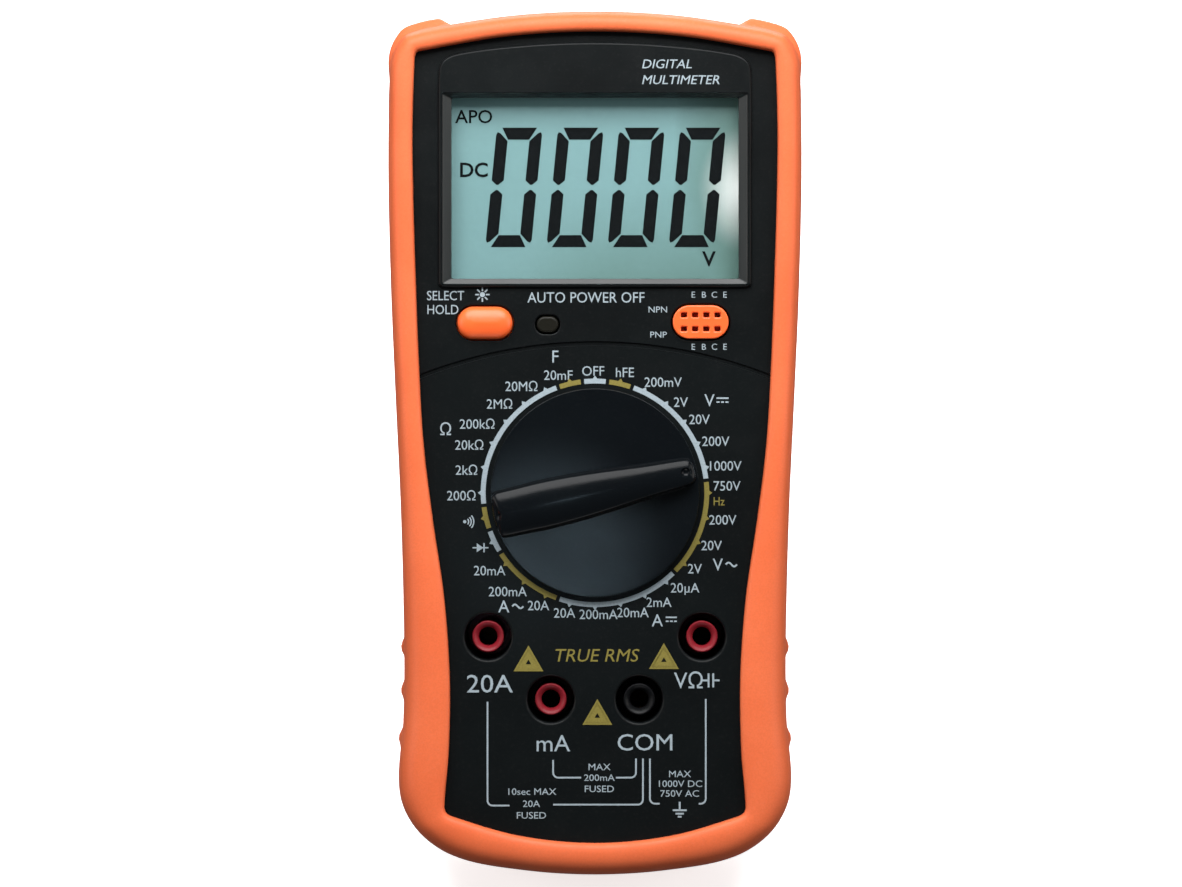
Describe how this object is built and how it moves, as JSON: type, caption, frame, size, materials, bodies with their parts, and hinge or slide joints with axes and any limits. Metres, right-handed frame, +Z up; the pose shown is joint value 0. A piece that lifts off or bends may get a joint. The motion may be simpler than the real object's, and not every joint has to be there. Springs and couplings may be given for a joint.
{
  "type": "digital multimeter",
  "caption": "Hand-held digital multimeter in a rubber holster, leaning back on its tilt stand, with a rotary range selector, a push button, test-lead jacks and a liquid-crystal display.",
  "frame": {"origin": "bottom centre of the bounding box, on the bench surface", "axes": "+Z up; the face looks towards -Y and up, leaning 35 degrees back from upright; +X to the right of the face"},
  "size_m": [0.0894, 0.1336, 0.1699],
  "materials": {
    "orange_rubber": "soft satin",
    "orange_plastic": "semi-gloss",
    "black_plastic": "fine satin",
    "knob_plastic": "fine texture",
    "window_clear": "clear gloss",
    "lcd_glass": "smooth",
    "white_plastic": "plain",
    "lamp_lens": "smoked",
    "contact_rubber": "matt",
    "jack_red": "moulded",
    "jack_black": "moulded",
    "brass": "turned",
    "steel": "zinc plated",
    "circuit_board": "solder mask",
    "fuse_ceramic": "glazed",
    "capacitor_sleeve": "sleeve",
    "battery_label": "foil",
    "lead_red": "insulation",
    "lead_black": "insulation"
  },
  "bodies": {
    "housing": {"holster": "orange_rubber", "front_case": "black_plastic", "rear_case": "black_plastic", "display_window": "window_clear", "lcd_holder": "white_plastic", "lcd_panel": "lcd_glass", "backlight_panel": "white_plastic", "elastomer_strip": "contact_rubber", "detent_ring": "white_plastic", "tact_switch": "steel", "indicator_lens": "lamp_lens", "indicator_led": "white_plastic", "transistor_socket": "orange_plastic", "jack_sleeve_20a": "jack_red", "jack_sleeve_ma": "jack_red", "jack_sleeve_com": "jack_black", "jack_sleeve_v": "jack_red", "jack_contact_20a": "brass", "jack_contact_ma": "brass", "jack_contact_com": "brass", "jack_contact_v": "brass", "main_board": "circuit_board", "meter_chip": "black_plastic", "filter_capacitor": "capacitor_sleeve", "shunt_wire": "brass", "buzzer_disc": "brass", "fuse_ma": "fuse_ceramic", "fuse_clip_ma_left": "steel", "fuse_clip_ma_right": "steel", "fuse_20a": "fuse_ceramic", "fuse_clip_20a_left": "steel", "fuse_clip_20a_right": "steel", "battery_9v": "battery_label", "battery_snap": "black_plastic", "battery_lead_red": "lead_red", "battery_lead_black": "lead_black", "battery_door": "black_plastic", "battery_door_screw": "steel", "case_screw_1": "steel", "case_screw_2": "steel", "case_screw_3": "steel", "case_screw_4": "steel", "board_screw_1": "steel", "board_screw_2": "steel", "stand_pin": "steel"},
    "selector": {"selector_knob": "knob_plastic", "rotor_carrier": "white_plastic", "knob_screw": "steel", "detent_ball_1": "steel", "detent_ball_2": "steel", "detent_spring_1": "steel", "detent_spring_2": "steel", "wiper_contact_1": "brass", "wiper_contact_2": "brass", "wiper_contact_3": "brass"},
    "button": {"function_button": "orange_plastic", "tact_plunger": "black_plastic"},
    "stand": {"tilt_stand": "black_plastic"}
  },
  "joints": [
    {"name": "selector_turn", "type": "hinge", "parent": "housing", "child": "selector", "pos_m": [0, -0.02088, 0.08633], "axis": [0, -0.8192, 0.5736], "continuous": true},
    {"name": "button_press", "type": "slide", "parent": "housing", "child": "button", "axis": [0, 0.8192, -0.5736], "range_m": [0, 0.001], "stiffness_N_per_m": 800, "springref_m": -0.0005},
    {"name": "stand_fold", "type": "hinge", "parent": "housing", "child": "stand", "pos_m": [0, 0.01174, 0.07521], "axis": [1, 0, 0], "range_deg": [-51, 0]}
  ]
}
